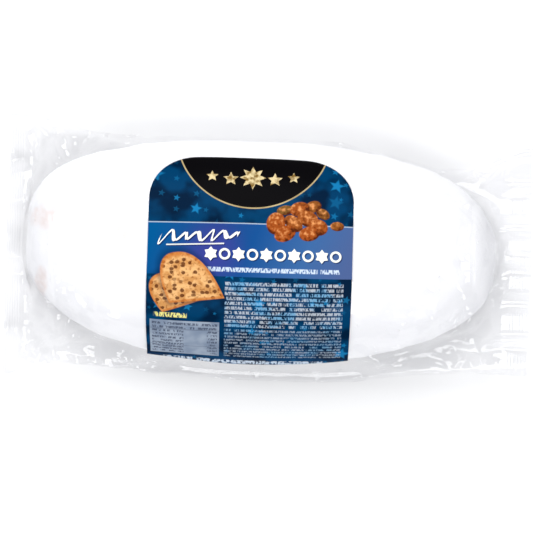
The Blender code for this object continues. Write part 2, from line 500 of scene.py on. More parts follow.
film_places = settled(cloth_film, film_places, film_sealed)
bpy.data.objects.remove(cloth_film)
print("film from", film_places.min((0, 1)) / MM, "to", film_places.max((0, 1)) / MM)

# %% [markdown]
# Where the label sticks to it, the film can't crease. There its points are averaged with
# their neighbours on the flat film, over and over, and the smoothed sheet is kept as the
# surface that the label lies on. Film that ended up inside the loaf is pushed out again.
# Before that the film's two long edges are drawn to the pack's own outline, which has a
# waist on the right where the film clings to the loaf's end.

# %% Draw the edges in and smooth the film under the label
LABEL_SMOOTHING = 60
FILM_CLEARANCE = 0.3 * MM


def drawn_in(places):
    """The film's points with the outer half of each section moved to the pack's outline."""
    moved = places.copy()
    for column in moved:
        middle = column[:, 0].mean()
        for way, outline in ((1, BACK_OUTLINE), (-1, FRONT_OUTLINE)):
            edge = (way * column[:, 1]).max()
            shift = edge_at(middle, outline) - edge
            side = way * column[:, 1] / edge
            column[:, 1] += way * shift * smooth_step(0.72, 1.0, side)
    return moved


def averaged(places, rounds):
    """The film's points after repeated averaging with their four neighbours."""
    smooth = places.copy()
    for _ in range(rounds):
        across = (np.roll(smooth, 1, 1) + np.roll(smooth, -1, 1)) / 2
        along = smooth.copy()
        along[1:-1] = (smooth[:-2] + smooth[2:]) / 2
        smooth = (smooth + 0.5 * (across + along)) / 2
    return smooth


def outside_loaf(places, clearance):
    """The same points, with any that are nearer the loaf than the clearance moved out to it."""
    bm = bmesh.new()
    bm.from_mesh(loaf.data)
    tree = BVHTree.FromBMesh(bm)
    bm.free()
    moved = places.copy().reshape(-1, 3)
    for i, place in enumerate(moved):
        nearest, facing, _, away = tree.find_nearest(Vector(place))
        inside = (Vector(place) - nearest).dot(facing)
        if inside < clearance and away < 12 * MM:
            moved[i] = nearest + facing * clearance
    return moved.reshape(places.shape)


film_places = drawn_in(film_places)
sheet_under_label = outside_loaf(averaged(film_places, LABEL_SMOOTHING), 2 * FILM_CLEARANCE)
sheet_under_label = averaged(sheet_under_label, 6)
share = under_label(film_places)[:, :, None]
film_places = film_places * (1 - share) + sheet_under_label * share
film_places[:, :, 2] = np.maximum(film_places[:, :, 2], FLOOR_GAP)

# %% [markdown]
# The crimping jaws leave fine ribs along each fin, parallel to its edge. The cloth's points
# stand too far apart to carry them, so the final film gets more columns inside the fins,
# raised and lowered in turn. One subdivision then rounds the rest of the cloth's facets.
# Film is far thinner than it can be modelled, so it stays a single sheet.

# %% Rib the fins and finish the film
RIB_PITCH, RIB_HEIGHT = 1.6 * MM, 0.2 * MM
RIB_COLUMNS = 4  # columns for each rib and its groove


def with_ribs(places):
    """The film's points with extra columns in both fins, moved up and down to form ribs."""
    flat = np.linspace(-0.5, 0.5, COLUMNS + 1) * FLAT_LENGTH
    seal_from = flat[film_sealed[:, 0]]
    inner = seal_from[seal_from > 0].min()
    ribs = np.arange(inner, FLAT_LENGTH / 2, RIB_PITCH / RIB_COLUMNS)
    ribs = np.r_[ribs, FLAT_LENGTH / 2]
    at = np.r_[-ribs[::-1], flat[np.abs(flat) < inner - 0.1 * MM], ribs]
    finer = np.zeros((len(at), ROWS, 3))
    for row in range(ROWS):
        for axis in range(3):
            finer[:, row, axis] = np.interp(at, flat, places[:, row, axis])
    depth = np.clip((np.abs(at) - inner) / RIB_PITCH, 0, None)
    finer[:, :, 2] += (RIB_HEIGHT * np.sin(2 * math.pi * depth))[:, None]
    return finer


def subdivided(thing, levels):
    modifier = thing.modifiers.new("finer", "SUBSURF")
    modifier.levels = modifier.render_levels = levels
    evaluated = thing.evaluated_get(bpy.context.evaluated_depsgraph_get())
    finer = bpy.data.meshes.new_from_object(evaluated)
    thing.modifiers.clear()
    thing.data = finer
    finer.shade_smooth()


film = rolled_film("film", with_ribs(film_places))
subdivided(film, 1)
print("film", len(film.data.polygons), "faces")

# %% [markdown]
# Thin film creases sharply where nothing holds it. Straight creases run out from the loaf's
# shoulders to the four corners of the pack, where the round loaf meets the flat fins, and
# smaller ones cross in all directions. A triangle wave folds the film along straight lines
# with flat facets between them. Film that is stretched over the loaf or lies under the label
# stays nearly smooth.

# %% Crease the film
SHOULDERS = (  # where creases start: X, Y, how far they reach, and how many there are
    (-90, 34, 46, 17),
    (-98, -40, 34, 13),
    (88, 30, 44, 15),
    (98, -38, 32, 13),
)
RAY_STEEPNESS = 0.8
CREASE_WAVES = 26
CREASE_PITCHES = (5, 26)
CREASE_STEEPNESS = 0.22
LOAF_HOLD = 3.5 * MM


def triangle_wave(turns):
    return 4 * np.abs(turns % 1 - 0.5) - 1


def crossing_creases(places):
    chance = np.random.default_rng(5)
    height = np.zeros(len(places))
    for _ in range(CREASE_WAVES):
        direction = chance.normal(size=3)
        direction /= np.linalg.norm(direction)
        pitch = chance.uniform(*CREASE_PITCHES) * MM
        patch = np.ones(len(places))
        for _ in range(2):
            patch *= np.sin(places @ chance.normal(size=3) / (16 * MM) + chance.uniform(0, 6))
        lines = triangle_wave(places @ direction / pitch + chance.random())
        height += CREASE_STEEPNESS * pitch / 4 * lines * smooth_step(0.05, 0.4, patch)
    return height


def creases_from_shoulders(places):
    height = np.zeros(len(places))
    for x, y, reach, count in SHOULDERS:
        out = (places[:, :2] / MM - (x, y)) * (np.sign(x), np.sign(y))
        angle = np.arctan2(out[:, 1], out[:, 0]) / (2 * math.pi)
        away = np.hypot(out[:, 0], out[:, 1])
        bent = angle + 0.012 * np.sin(away / 5)
        lines = triangle_wave(bent * count + x)
        fan = smooth_step(-0.14, -0.06, angle) * smooth_step(0.39, 0.3, angle)
        rise = away * smooth_step(reach, reach * 0.5, away)
        height += RAY_STEEPNESS / 4 / count * 2 * math.pi * lines * rise * fan * MM
    return height


def creased(film):
    """The film's points raised and lowered by its creases, as far as it is free to move."""
    places = points_of(film.data)
    facing = np.zeros(len(places) * 3)
    film.data.vertices.foreach_get("normal", facing)
    facing = facing.reshape(-1, 3)
    bm = bmesh.new()
    bm.from_mesh(loaf.data)
    tree = BVHTree.FromBMesh(bm)
    bm.free()
    away = np.array([tree.find_nearest(Vector(place))[3] for place in places])
    free = 0.12 + 0.88 * smooth_step(0.4 * MM, LOAF_HOLD, away)
    free *= 1 - under_label(places)
    free *= smooth_step(0.1, 0.55, facing[:, 2])
    seal = np.abs(places[:, 0]) - (pack_high.x - SEAL_DEPTH)
    free *= 1 - 0.8 * smooth_step(-2 * MM, 2 * MM, seal)
    height = crossing_creases(places) + creases_from_shoulders(places)
    places[:, 2] += height * free
    return places


finished = outside_loaf(creased(film), FILM_CLEARANCE)
finished[:, 2] = np.maximum(finished[:, 2], FLOOR_GAP / 2)
set_points(film.data, finished)
for layer in ("column", "row"):
    film.data.attributes.remove(film.data.attributes[layer])
print("film creased", [round(side / MM, 1) for side in film.dimensions])

# %% [markdown]
# ## The label
# The label is a broad paper strip with two rounded back corners, stuck over the top and
# down the front. It is a grid laid on the smoothed film: a distance across it and a
# distance down it, both in real millimetres, pick a place on the sheet below. The same
# two distances are its UV map, so that its print isn't stretched by the dome.

# %% Lay the label on the film
LABEL_CORNER = 23 * MM
LABEL_COLUMNS, LABEL_ROWS = 72, 88
LABEL_LIFT = 0.5 * MM
LABEL_THICKNESS = 0.12 * MM
LABEL_LENGTH = 113.2 * MM
LABEL_SAG = 4.2 * MM  # how much shorter it is along its sides
LABEL_BACK = label_high.y - 2 * MM


def cubic_weights(part):
    """How much each of four neighbouring points counts, for a place between the middle two."""
    return [
        (-part + 2 * part**2 - part**3) / 2,
        (2 - 5 * part**2 + 3 * part**3) / 2,
        (part + 4 * part**2 - 3 * part**3) / 2,
        (-(part**2) + part**3) / 2,
    ]


def on_sheet(sheet, column, row):
    """The sheet's smooth surface at any column and row, whole or not."""
    first_column, first_row = int(column), int(row)
    place = np.zeros(3)
    for i, along in enumerate(cubic_weights(column - first_column)):
        for j, down in enumerate(cubic_weights(row - first_row)):
            point = sheet[first_column + i - 1, (first_row + j - 1) % ROWS]
            place += along * down * point
    return place


def label_scales(sheet):
    """Distances along the sheet's crest and down its middle column, for each column and row."""
    middle = int(np.argmin(np.abs(sheet[:, HALF_ROWS // 2, 0] - LABEL_X)))
    crest = sheet[:, HALF_ROWS // 2]
    along = np.r_[0, np.cumsum(np.linalg.norm(np.diff(crest, axis=0), axis=1))]
    along -= np.interp(LABEL_X, crest[:, 0], along)
    column = sheet[middle, : HALF_ROWS + 1]
    down = np.r_[0, np.cumsum(np.linalg.norm(np.diff(column, axis=0), axis=1))]
    back = np.interp(-LABEL_BACK, -column[:, 1], down)
    return along, down - back


def back_edge(across):
    """How far down the label its rounded back edge starts, at a distance across it."""
    into_corner = max(abs(across) - (LABEL_WIDTH / 2 - LABEL_CORNER), 0)
    return LABEL_CORNER - math.sqrt(max(LABEL_CORNER**2 - into_corner**2, 0))


def make_label(sheet):
    along, down = label_scales(sheet)
    bm = bmesh.new()
    bmesh.ops.create_grid(bm, x_segments=LABEL_COLUMNS, y_segments=LABEL_ROWS, size=0.5)
    print_map = bm.loops.layers.uv.new("print")
    spots = {}
    for vert in bm.verts:
        across = LABEL_WIDTH / 2 * math.sin(math.pi * vert.co.x)
        start = back_edge(across)
        end = LABEL_LENGTH - LABEL_SAG * (2 * across / LABEL_WIDTH) ** 2
        depth = start + (end - start) * (vert.co.y + 0.5)
        spots[vert] = (across, depth)
        column = np.interp(across, along, range(len(along)))
        row = np.interp(depth, down, range(len(down)))
        vert.co = on_sheet(sheet, column, row)
    for face in bm.faces:
        for loop in face.loops:
            across, depth = spots[loop.vert]
            loop[print_map].uv = (across / (100 * MM), -depth / (100 * MM))
    bmesh.ops.reverse_faces(bm, faces=bm.faces)
    bm.normal_update()
    for vert in bm.verts:
        vert.co += vert.normal * LABEL_LIFT
    label = object_from("label_print", bm)
    shell = label.modifiers.new("paper", "SOLIDIFY")
    shell.thickness = LABEL_THICKNESS
    shell.offset = 1
    return label


label = make_label(sheet_under_label)
print("label", [round(side / MM, 1) for side in label.dimensions])

# %% [markdown]
# ## Materials as formulas
# Every finish below is worked out by nodes, and a formula is easier to read than a web of
# them. This class wraps one output of a node, so that sums, products and comparisons on
# it add the Math nodes they need. Any other node comes from its one `node` method.

# %% A value in a material
MATH_SIGNS = {
    "__add__": "ADD",
    "__sub__": "SUBTRACT",
    "__mul__": "MULTIPLY",
    "__truediv__": "DIVIDE",
    "__pow__": "POWER",
    "__mod__": "FLOORED_MODULO",
    "__lt__": "LESS_THAN",
    "__gt__": "GREATER_THAN",
}


class Value:
    def __init__(self, tree, socket=None):
        self.tree = tree
        self.socket = socket

    def node(self, kind, settings=None, inputs=None, output=0):
        """Adds a node: its settings first, then its inputs by name or number, as values or links."""
        made = self.tree.nodes.new(kind)
        for name, setting in (settings or {}).items():
            if name == "stops":
                set_stops(made.color_ramp, setting)
            else:
                setattr(made, name, setting)
        for name, value in (inputs or {}).items():
            socket = made.inputs[name]
            if isinstance(value, Value):
                self.tree.links.new(value.socket, socket)
            else:
                socket.default_value = value
        return Value(self.tree, made.outputs[output])

    def also(self, output):
        """Another output of the same node."""
        return Value(self.tree, self.socket.node.outputs[output])

    def maths(self, operation, *others):
        inputs = dict(enumerate((self, *others)))
        return self.node("ShaderNodeMath", {"operation": operation}, inputs)

    def reflected(self, operation, other):
        inputs = {0: other, 1: self}
        return self.node("ShaderNodeMath", {"operation": operation}, inputs)

    def __radd__(self, other):
        return self + other

    def __rmul__(self, other):
        return self * other

    def __rsub__(self, other):
        return self.reflected("SUBTRACT", other)

    def __rtruediv__(self, other):
        return self.reflected("DIVIDE", other)

    def __neg__(self):
        return self * -1

    def __abs__(self):
        return self.maths("ABSOLUTE")


def set_stops(ramp, stops):
    while len(ramp.elements) < len(stops):
        ramp.elements.new(0.5)
    for element, (place, colour) in zip(ramp.elements, stops):
        element.position = place
        element.color = (*colour, 1)


for sign, operation in MATH_SIGNS.items():
    setattr(Value, sign, lambda self, other, o=operation: self.maths(o, other))

# %% [markdown]
# A few shapes of formula return in several finishes: a soft step from 0 to 1, a noise, a
# mix of two colours, and a bump. Colours are given as a printer or a photographer would
# read them, from 0 to 255, and turned into the linear values that shaders use.

# %% Formulas that several finishes share


def ink(*levels):
    shares = [level / 255 for level in levels]
    return tuple(s / 12.92 if s <= 0.04045 else ((s + 0.055) / 1.055) ** 2.4 for s in shares)


def soft(value, low, high):
    """0 below low, 1 above high, and a smooth step between; the other way if low is above high."""
    settings = {"interpolation_type": "SMOOTHSTEP"}
    inputs = {"Value": value, "From Min": low, "From Max": high}
    return value.node("ShaderNodeMapRange", settings, inputs)


def cloudy(place, scale, detail=2, roughness=0.5):
    inputs = {"Vector": place, "Scale": scale, "Detail": detail, "Roughness": roughness}
    return place.node("ShaderNodeTexNoise", None, inputs)


def mixed(first, second, share):
    """One colour over another, as far as the share says. Either may be a plain colour."""
    colours = [(*c, 1) if isinstance(c, tuple) else c for c in (first, second)]
    inputs = {0: share, 6: colours[0], 7: colours[1]}
    return share.node("ShaderNodeMix", {"data_type": "RGBA"}, inputs, 2)


def bumped(height, distance, strength=1.0):
    inputs = {"Height": height, "Distance": distance, "Strength": strength}
    return height.node("ShaderNodeBump", None, inputs)


def new_material(name):
    """A material with nothing in it but its output and its main shader."""
    material = bpy.data.materials.new(name)
    material.use_nodes = True
    tree = material.node_tree
    return material, Value(tree), tree.nodes["Principled BSDF"]


def feed(shader, **inputs):
    """Sets a shader's inputs: a value on the socket itself, or a link where it is worked out."""
    for name, value in inputs.items():
        socket = shader.inputs[name.replace("_", " ")]
        if isinstance(value, Value):
            value.tree.links.new(value.socket, socket)
        else:
            socket.default_value = value


# %% [markdown]
# ## Sugared crust
# Icing sugar scatters all light, so it is nearly pure white and quite matt. Where the coat
# is thin the baked crust warms it a little, in a few worn spots on the dome's left half.
# The grain has two sizes: caked clumps a few millimetres across, and fine powder.

# %% The crust's finish
SUGAR = ink(238, 238, 240)
THIN_SUGAR = ink(230, 212, 206)
CRUST = ink(196, 146, 112)
WORN_SPOTS = (  # from the loaf's centre, in mm: X, Y, half length, half width
    (-101, 13, 13, 9),
    (-64, 8, 7, 15),
    (-103, -18, 5, 10),
)


def crust_finish():
    material, start, shader = new_material("sugared_crust")
    place = start.node("ShaderNodeTexCoord", output="Object")
    axes = place.node("ShaderNodeSeparateXYZ", None, {0: place})
    along = (axes - LOAF_CENTRE.x) / MM
    across = (axes.also("Y") - LOAF_CENTRE.y) / MM
    patchy = cloudy(place, 95, 4, 0.6)
    worn = 0
    for x, y, length, width in WORN_SPOTS:
        away = ((along - x) / length) ** 2 + ((across - y) / width) ** 2
        worn = soft(away, 1.3, 0.0) + worn
    thin = soft(worn * patchy, 0.22, 0.5)
    thinnest = soft(worn * cloudy(place, 260, 3, 0.6), 0.42, 0.62)
    colour = mixed(mixed(SUGAR, THIN_SUGAR, thin * 0.35), CRUST, thinnest * 0.11)
    caked = cloudy(place, 330, 3, 0.6)
    powder = cloudy(place, 1900, 2, 0.7)
    grain = bumped(caked * 0.7 + powder * 0.3, 0.5 * MM, 0.35)
    feed(shader, Base_Color=colour, Roughness=0.95, Specular_IOR_Level=0.2, Normal=grain)
    return material


loaf.data.materials.append(crust_finish())

# %% [markdown]
# Sugar also lies loose: clumps sit on the crust, and grains have rolled down into the fold
# of film along the loaf's foot. Each is a small uneven ball at its true size, half a
# millimetre to two across, and all of them together are one piece.

# %% Scatter loose sugar
CLUMPS_ON_LOAF = 520
GRAINS_ON_FLOOR = 260


def add_grain(bm, place, size, chance):
    made = bmesh.ops.create_icosphere(bm, subdivisions=1, radius=size / 2)
    stretch = chance.uniform(0.65, 1.15, 3)
    for vert in made["verts"]:
        uneven_by = 1 + 0.35 * noise.noise(vert.co / size * 2 + Vector(place) * 900)
        vert.co = Vector(place) + vert.co * Vector(stretch) * uneven_by


def loose_sugar():
    chance = np.random.default_rng(11)
    crust = BVHTree.FromObject(loaf, bpy.context.evaluated_depsgraph_get())
    bm = bmesh.new()
    for _ in range(CLUMPS_ON_LOAF):
        way = Vector(chance.normal(size=3))
        way.z = abs(way.z)
        start = dome_point(way.normalized())
        nearest, facing, _, _ = crust.find_nearest(start)
        size = chance.uniform(0.5, 1.0) ** 2 * 1.7 * MM
        if nearest.z > 4 * MM:
            add_grain(bm, nearest - facing * size * 0.22, size, chance)
    for _ in range(GRAINS_ON_FLOOR):
        angle = chance.uniform(0, 2 * math.pi)
        foot = dome_point(Vector((math.cos(angle), math.sin(angle), -0.8)).normalized())
        out = (foot - LOAF_CENTRE) * (1 + chance.random() ** 2 * 0.06)
        size = chance.uniform(0.4, 1.1) * MM
        place = (LOAF_CENTRE.x + out.x, LOAF_CENTRE.y + out.y, FLOOR_GAP + size * 0.4)
        add_grain(bm, place, size, chance)
    return object_from("sugar_crumbs", bm)


sugar_crumbs = loose_sugar()
sugar_crumbs.data.materials.append(loaf.data.materials[0])
print("loose sugar", len(sugar_crumbs.data.polygons), "faces")

# %% [markdown]
# ## Clear film
# Film shows by what it reflects: little face on, more along its creases and edges. A share
# of the light therefore goes to a glossy shader and the rest passes straight through, a
# trace greyer. The share rises with the viewing angle as Fresnel says, for both faces of
# the film at once.

# %% The film's finish
FILM_TINT = (0.988, 0.988, 0.991, 1)
FACE_ON_GLOSS, GRAZING_GLOSS = 0.05, 0.95
CRINKLE = 1 / (7 * MM)


def film_finish():
    material, start, shader = new_material("clear_film")
    tree = material.node_tree
    place = start.node("ShaderNodeTexCoord", output="Object")
    facets = start.node("ShaderNodeTexVoronoi", None, {"Vector": place, "Scale": CRINKLE})
    crinkles = bumped(facets + cloudy(place, 240, 2), 0.4 * MM, 0.3)
    feed(shader, Base_Color=(1, 1, 1, 1), Metallic=1.0, Roughness=0.08, Normal=crinkles)
    slant = start.node("ShaderNodeLayerWeight", None, {"Blend": 0.5, "Normal": crinkles}, "Facing")
    share = slant**3.4 * GRAZING_GLOSS + FACE_ON_GLOSS
    clear = start.node("ShaderNodeBsdfTransparent", None, {"Color": FILM_TINT})
    glossy = Value(tree, shader.outputs[0])
    both = start.node("ShaderNodeMixShader", None, {0: share, 1: clear, 2: glossy})
    tree.links.new(both.socket, tree.nodes["Material Output"].inputs["Surface"])
    return material


film.data.materials.clear()
film.data.materials.append(film_finish())

# %% [markdown]
# ## Printed label
# The label is glossy paper printed edge to edge. Its artwork is flat: stars at night above,
# a light band across the middle, fruit and two slices of cake, and small print below. All
# of it is drawn by formulas in millimetres, across from the middle and down from the top.
# These first formulas are the shapes that the whole artwork is drawn with.

# %% Shapes to print with
PRINT_EDGE = 0.3  # mm over which one ink gives way to the next


def turned_by(across, down, degrees):
    cosine, sine = math.cos(math.radians(degrees)), math.sin(math.radians(degrees))
    return across * cosine + down * sine, down * cosine - across * sine


def inside(distance, limit):
    return soft(distance, limit + PRINT_EDGE / 2, limit - PRINT_EDGE / 2)


def between(value, low, high):
    return inside(abs(value - (low + high) / 2), (high - low) / 2)


def box(across, down, left, right, top, bottom):
    return between(across, left, right) * between(down, top, bottom)


def reach(across, down):
    return (across * across + down * down) ** 0.5


def star_reach(across, down, points, sharpness):
    """How large a star round this centre must be to take in a place."""
    turn = 2 * math.pi / points
    angle = down.maths("ARCTAN2", across) + math.pi / 2
    folded = abs((angle + turn / 2) % turn - turn / 2)
    slope = math.radians(sharpness)
    return reach(across, down) * (folded - slope).maths("COSINE") / math.cos(slope)


def scattered(across, down, pitch, spread=1.0):
    """Places measured from the nearest of many scattered centres, and that centre's own number."""
    plane = across.node("ShaderNodeCombineXYZ", None, {0: across, 1: down})
    settings = {"voronoi_dimensions": "2D"}
    inputs = {"Vector": plane, "Scale": 1 / pitch, "Randomness": spread}
    cells = across.node("ShaderNodeTexVoronoi", settings, inputs)
    centre = cells.also("Position").node("ShaderNodeSeparateXYZ", None, {0: cells.also("Position")})
    number = cells.also("Color").node("ShaderNodeSeparateColor", None, {0: cells.also("Color")})
    return across - centre, down - centre.also("Y"), number


def drifting(across, down, scale, detail=2):
    plane = across.node("ShaderNodeCombineXYZ", None, {0: across, 1: down})
    return cloudy(plane, scale, detail)


# %% [markdown]
# The night is deep blue, with lighter stars of many sizes, most of them faint. A black
# half-round badge hangs from the top edge with a thin gold line round it, and holds a row
# of gold stars.

# %% Night sky and badge
NIGHT = ink(0, 54, 92)
DEEP_NIGHT = ink(0, 26, 52)
STARLIGHT = ink(24, 128, 184)
BLACK = ink(8, 7, 9)
GOLD = ink(214, 196, 150)
DARK_GOLD = ink(120, 92, 42)
BADGE = (0.5, -7.8, 35.4)  # centre across and down, radius
BADGE_STARS = ((-18.5, 11.2, 3.0), (-9.8, 12.6, 3.7), (0.5, 11.8, 6.2), (10.8, 12.6, 3.7), (19.5, 11.2, 3.0))
STAR_FIELDS = ((15, 4.6, 0.7), (8, 2.1, 0.55))  # pitch, largest size, strength


def night_sky(across, down):
    colour = mixed(NIGHT, DEEP_NIGHT, soft(drifting(across, down, 0.07), 0.42, 0.62))
    for pitch, size, strength in STAR_FIELDS:
        x, y, number = scattered(across + pitch, down, pitch)
        x, y = turned_by(x, y, 12)
        largest = (number * 0.55 + 0.45) * size
        star = soft(star_reach(x, y, 5, 66) / largest, 1.25, 0.65)
        colour = mixed(colour, STARLIGHT, star * soft(number.also("Green"), 0.3, 0.9) * strength)
    return colour


def with_badge(colour, across, down):
    x, y, radius = BADGE
    away = reach(across - x, down - y)
    colour = mixed(colour, mixed(DARK_GOLD, GOLD, drifting(across, down, 0.12)), inside(away, radius))
    colour = mixed(colour, BLACK, inside(away, radius - 0.65))
    sheen = mixed(DARK_GOLD, GOLD, soft(drifting(across, down, 0.35), 0.35, 0.6))
    for x, y, size in BADGE_STARS:
        star = star_reach(across - x, down - y, 5 if size < 5 else 8, 66)
        colour = mixed(colour, sheen, inside(star, size))
    return colour


# %% [markdown]
# The band runs from blue through violet to pale steel blue, with a thin light line along
# its top. A handwritten looking flourish and a row of cream motifs lie on it, with a line
# of small print below them: shapes only, with nothing to read.

# %% Band across the middle
BAND_TOP, BAND_BOTTOM = 34.8, 59.5
BAND_STOPS = (
    (0.0, ink(2, 78, 132)),
    (0.3, ink(30, 62, 124)),
    (0.5, ink(20, 72, 132)),
    (0.78, ink(54, 94, 146)),
    (1.0, ink(70, 90, 136)),
)
CREAM = ink(238, 238, 226)
PALE = ink(196, 210, 226)
MOTIF_PITCH = 6.45


def flourish(across, down):
    """A leaning, looping pen stroke that fades out to the right, over a straight one."""
    lean = across + (down - 41) * 0.55
    along = (lean + 41.5) / 36
    turns = along * 38 + (along * 19).maths("SINE") * 0.7
    height = ((along * 9.5).maths("COSINE") * 0.8 + 2.0) * (1.25 - along * 0.6)
    away = down - 40.8 + (along - 0.5) * 1.6 - turns.maths("SINE") * height
    width = abs(turns.maths("COSINE")) * 1.0 + 0.38
    stroke = soft(abs(away) / width, 1.1, 0.7) * between(lean, -41.5, -6)
    under = soft(abs(down - 45.6 + along * 1.6), 0.45, 0.2) * between(across, -39, -12)
    return stroke.maths("MAXIMUM", under * 0.8)


def motifs(across, down):
    """A row of stars and rings, one after the other."""
    start = across + 21.3
    number = (start / MOTIF_PITCH).maths("FLOOR")
    x = start - (number + 0.5) * MOTIF_PITCH
    y = down - 49.0
    star = inside(star_reach(x, y, 6, 52), 3.3)
    ring = inside(abs(reach(x, y) - 2.15), 0.5)
    odd = number % 2
    return (star * (1 - odd) + ring * odd) * between(across, -21.3, 42.8)


def small_print(across, down, pitch, height, words=0.32):
    """Rows of short dashes of uneven length, as small print looks from arm's length."""
    row = (down / pitch).maths("FLOOR")
    middle = abs(down - (row + 0.5) * pitch)
    letters = drifting(across * 1.5, row * 9.7 + down * 0.55, 1.0, 1)
    breaks = drifting(across * words, row * 5.3, 1.0, 1)
    ink_share = soft(letters, 0.36, 0.56) * soft(breaks, 0.34, 0.4)
    return ink_share * soft(middle, height / 2 + 0.25, height / 2 - 0.2)


def with_band(colour, across, down):
    share = across / LABEL_WIDTH * MM + 0.5 + (down - 47) * 0.004
    band = share.node("ShaderNodeValToRGB", {"stops": BAND_STOPS}, {0: share})
    band = mixed(band, ink(66, 56, 140), soft(reach(across + 17, down - 48) / 19, 1.0, 0.2) * 0.5)
    colour = mixed(colour, band, between(down, BAND_TOP, BAND_BOTTOM))
    colour = mixed(colour, PALE, between(down, BAND_TOP - 0.4, BAND_TOP + 0.1) * 0.6)
    shadow = flourish(across - 0.5, down - 0.5).maths("MAXIMUM", motifs(across - 0.5, down - 0.5))
    colour = mixed(colour, ink(14, 24, 70), shadow * 0.75)
    colour = mixed(colour, CREAM, flourish(across, down).maths("MAXIMUM", motifs(across, down)))
    line = small_print(across, down - 54.6, 3.2, 2.0, 0.2) * box(across, down, -21.5, 42, 54.6, 57.8)
    return mixed(colour, PALE, line)


# %% [markdown]
# The fruit is a heap of candied raisins: ovals shaded from orange to dark brown, wrinkled
# and lit from the left. The two slices are leaning half ovals of pale crumb with a golden
# crust, dark raisins and small pores.

# %% Fruit and slices
FRUIT_DARK = ink(78, 32, 12)
FRUIT_MID = ink(150, 72, 26)
FRUIT_LIGHT = ink(216, 144, 86)
OLIVE = ink(110, 78, 34)
FRUIT = (  # centre across and down, half length, half width, turn, olive share
    (33.5, 29.0, 3.4, 2.4, 30, 0.7),
    (29.0, 25.6, 3.8, 2.8, -20, 0.5),
    (16.0, 27.8, 4.0, 2.3, -10, 0.9),
    (40.3, 34.6, 3.2, 2.2, 0, 0.5),
    (22.6, 27.0, 4.6, 3.4, -15, 0.1),
    (26.5, 31.5, 5.0, 3.8, 20, 0.2),
    (11.8, 34.2, 4.4, 5.2, 10, 0.0),
    (20.0, 34.0, 4.8, 3.2, 40, 0.3),
    (16.2, 38.8, 5.2, 3.6, -25, 0.0),
    (31.4, 35.4, 4.6, 3.8, 15, 0.1),
    (27.4, 38.6, 4.8, 3.4, -10, 0.0),
)
CRUMB = ink(196, 140, 82)
CRUMB_LIGHT = ink(222, 172, 114)
CRUMB_DARK = ink(126, 68, 26)
GOLDEN_CRUST = ink(186, 108, 46)
SLICES = ((-29.5, 74.0, 11.5, 18.5, 22), (-24.0, 71.5, 13.0, 24.0, 8))


def with_fruit(colour, across, down):
    wrinkles = drifting(across, down, 0.5, 2)
    for x, y, length, width, turn, olive in FRUIT:
        u, v = turned_by(across - x, down - y, turn)
        edge = ((u / length) ** 2 + (v / width) ** 2) ** 0.5
        light = wrinkles * 1.5 - edge * 0.35 - (u * 0.5 + v) / (length + width) * 0.5
        skin = mixed(mixed(FRUIT_MID, OLIVE, light * 0 + olive), FRUIT_LIGHT, soft(light, 0.55, 1.0))
        skin = mixed(FRUIT_DARK, skin, soft(light, 0.15, 0.55))
        colour = mixed(colour, skin, soft(edge, 1.06, 0.94))
    return colour


def with_slices(colour, across, down):
    x, y, fruit = scattered(across, down * 1.2, 3.0)
    raisin = soft(reach(x, y) + drifting(across, down, 0.6) * 1.2, 1.85, 1.35) * soft(fruit, 0.42, 0.5)
    pores = soft(drifting(across, down, 0.75, 3), 0.5, 0.68)
    crumb = mixed(mixed(CRUMB, CRUMB_LIGHT, soft(drifting(across, down, 0.25), 0.4, 0.6)), CRUMB_DARK, pores * 0.6)
    crumb = mixed(crumb, FRUIT_DARK, raisin * 0.85)
    for x, y, base, height, turn in SLICES:
        u, v = turned_by(across - x, y - down, turn)
        edge = (abs((u + v * 0.3) / base) ** 2.4 + (abs(v) / height) ** 2.4) ** (1 / 2.4)
        shape = soft(edge, 1.01, 0.98) * soft(v, -0.4, 0.2)
        rind = soft(edge, 0.88, 0.96).maths("MAXIMUM", soft(v, 1.6, 0.6))
        colour = mixed(colour, DEEP_NIGHT, soft(edge, 1.2, 0.95) * soft(v, -2.5, 0.5) * 0.6)
        colour = mixed(colour, mixed(crumb, GOLDEN_CRUST, rind * 0.75), shape)
    return colour


# %% [markdown]
# Below the band are two blocks of small print on the right, and on the left a grey table
# of short rows under a yellow line. A row of larger pale dashes runs along the front edge.

# %% Small print and table
YELLOW = ink(222, 214, 130)
TABLE = ink(148, 160, 176)
TABLE_INK = ink(70, 78, 96)
CYAN = ink(96, 176, 224)


def with_small_print(colour, across, down):
    lines = small_print(across, down - 61.6, 2.35, 1.5) * box(across, down, -11.0, 44, 61.6, 85.1)
    fine = small_print(across + 40, down - 85.6, 2.05, 1.2) * box(across, down, -11.0, 44, 85.6, 106.1)
    patchy = soft(drifting(across, down, 0.11, 1), 0.46, 0.6)
    colour = mixed(colour, mixed(ink(196, 204, 214), CYAN, patchy * 0.8), lines * 0.66)
    colour = mixed(colour, mixed(ink(166, 180, 196), CYAN, patchy * 0.6), fine * 0.55)
    price = small_print(across, down - 77.6, 3.9, 2.4, 0.12) * box(across, down, -45.6, -28.5, 77.6, 81.5)
    return mixed(colour, YELLOW, price)


